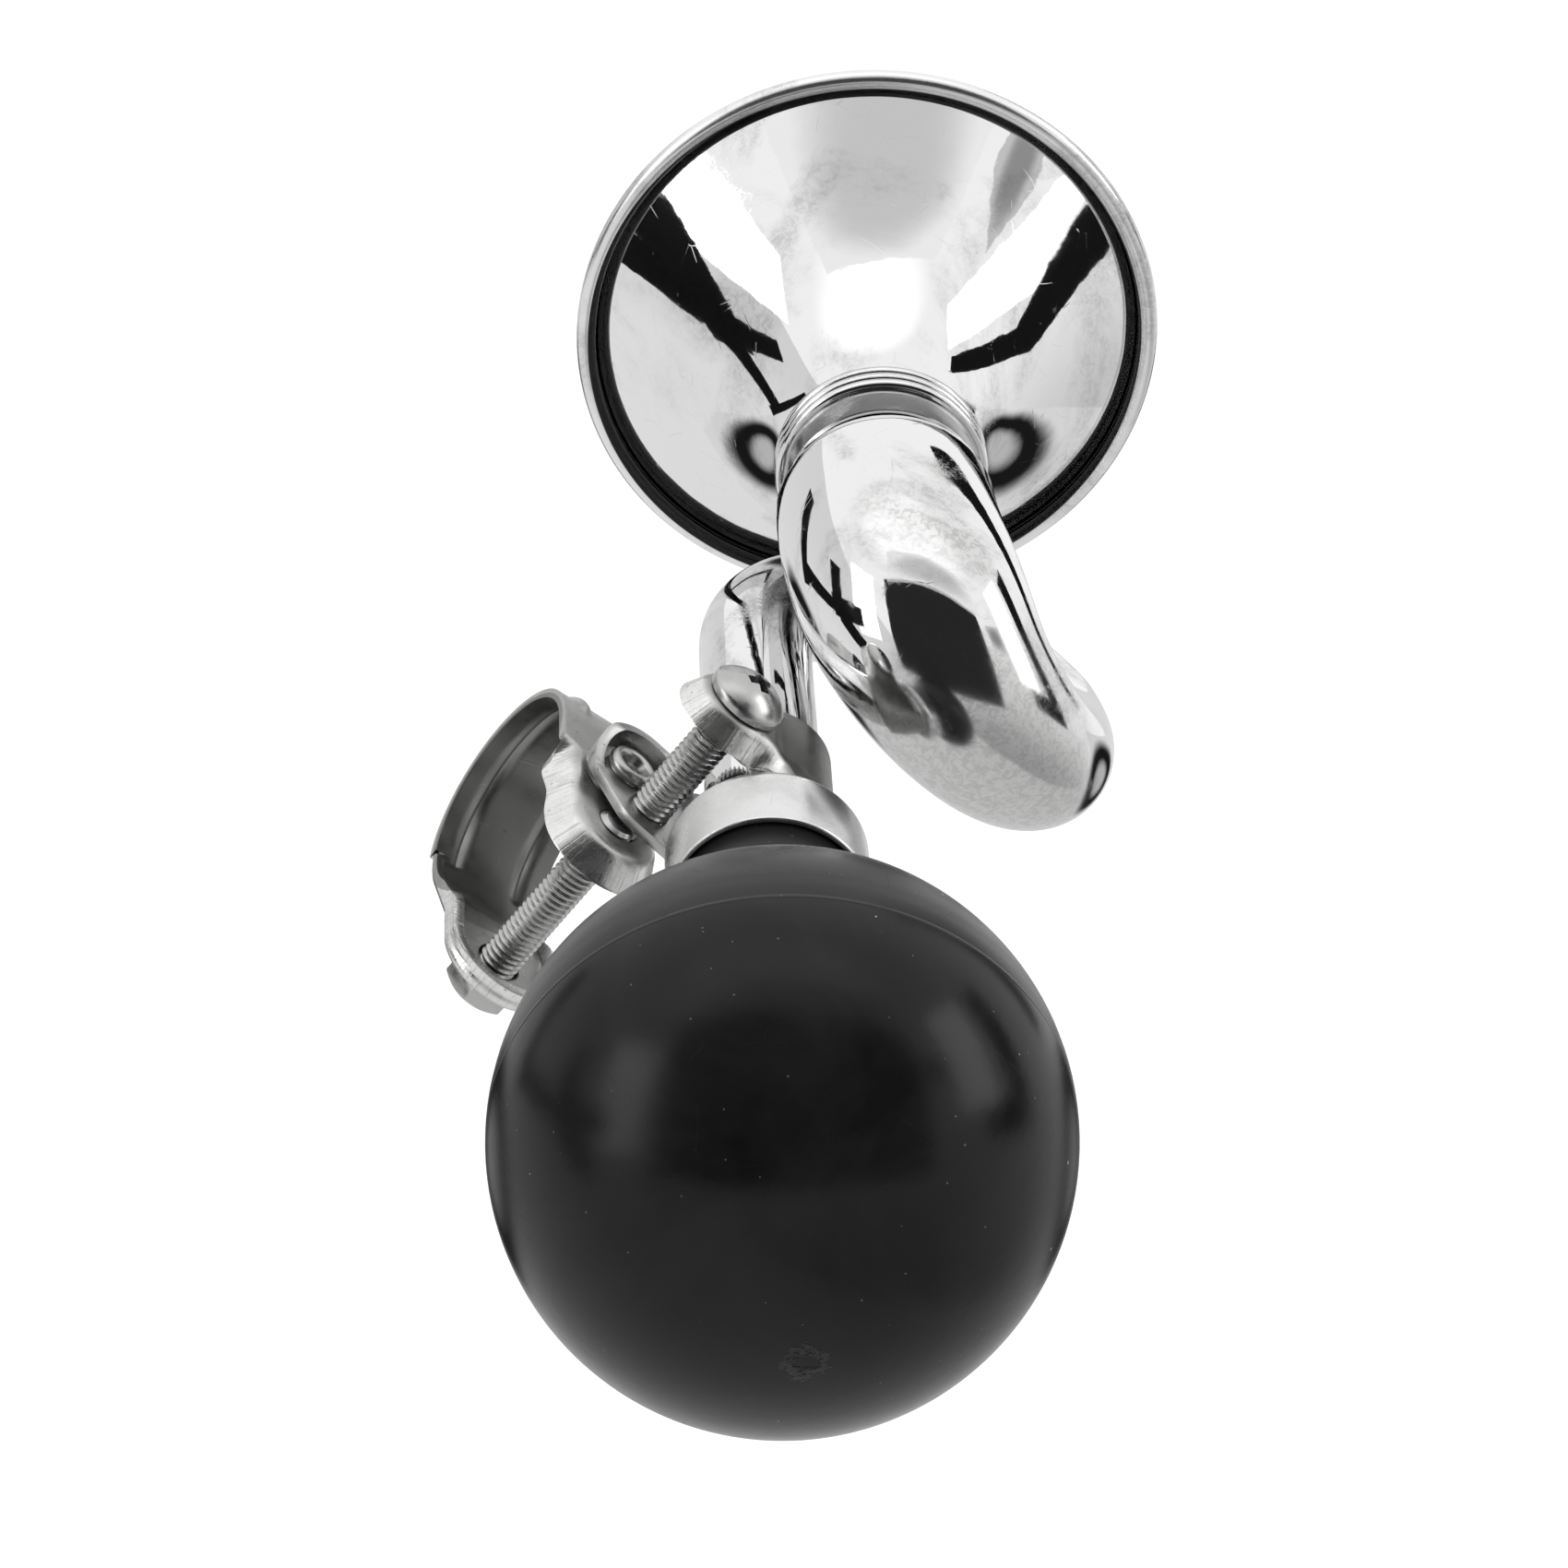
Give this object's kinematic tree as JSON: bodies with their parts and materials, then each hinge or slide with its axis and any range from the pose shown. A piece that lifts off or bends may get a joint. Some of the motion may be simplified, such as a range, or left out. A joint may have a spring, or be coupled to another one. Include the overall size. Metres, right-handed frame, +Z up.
{
  "type": "bulb horn",
  "caption": "Squeeze-bulb bugle horn with a looped plated tube, flared bell, rubber bulb and a pressed-steel swivel bracket that clamps to a handlebar.",
  "frame": {"origin": "centre of the handlebar clamp's bore", "axes": "+X along the handlebar, towards the side the loop hangs on; +Y forward to the bell's mouth; +Z up, so the horn stands above the handlebar"},
  "size_m": [0.0772, 0.1805, 0.0981],
  "materials": {
    "plated": "polished",
    "plated_satin": "satin",
    "zinc_steel": "dull zinc plate",
    "brass": "satin",
    "rubber": "satin"
  },
  "bodies": {
    "bar_clamp": {"handlebar_band": "zinc_steel", "swivel_pin": "zinc_steel", "swivel_washer": "zinc_steel"},
    "bar_clamp_screw": {"bar_clamp_screw": "zinc_steel"},
    "tube_clamp": {"tube_clamp": "zinc_steel"},
    "tube_clamp_screw": {"tube_clamp_screw": "zinc_steel"},
    "horn": {"coiled_tube": "plated", "throat_sleeve": "plated_satin", "throat_collar": "plated", "bell": "plated", "rim_wire": "zinc_steel", "ferrule": "plated_satin", "bulb_nipple": "brass", "reed_plug": "brass", "reed_shallot": "brass", "reed_clip": "brass"},
    "bulb": {"bulb": "rubber"},
    "reed_tongue": {"reed_tongue": "brass"}
  },
  "joints": [
    {"name": "bracket_swivel", "type": "hinge", "parent": "bar_clamp", "child": "tube_clamp", "pos_m": [0, -0.0093, 0.0155], "axis": [0, 0, 1], "range_deg": [-45, 45]},
    {"name": "bar_screw_turn", "type": "hinge", "parent": "bar_clamp", "child": "bar_clamp_screw", "pos_m": [0, -0.01795, -0.01], "axis": [0, 0, 1], "continuous": true},
    {"name": "tube_screw_turn", "type": "hinge", "parent": "tube_clamp", "child": "tube_clamp_screw", "pos_m": [0.003, -0.0144, 0.0339], "axis": [0, 0, 1], "continuous": true},
    {"name": "horn_roll", "type": "hinge", "parent": "tube_clamp", "child": "horn", "pos_m": [0.013, -0.0144, 0.0244], "axis": [0, 1, 0], "range_deg": [-35, 35]},
    {"name": "bulb_squeeze", "type": "slide", "parent": "horn", "child": "bulb", "axis": [0, 1, 0], "range_m": [0, 0.012], "stiffness_N_per_m": 600, "deforming": ["bulb"]},
    {"name": "reed_beat", "type": "hinge", "parent": "horn", "child": "reed_tongue", "pos_m": [0.013, -0.0459, 0.02725], "axis": [-1, 0, 0], "range_deg": [-1.2, 2.5], "stiffness_Nm_per_rad": 0.0005}
  ]
}
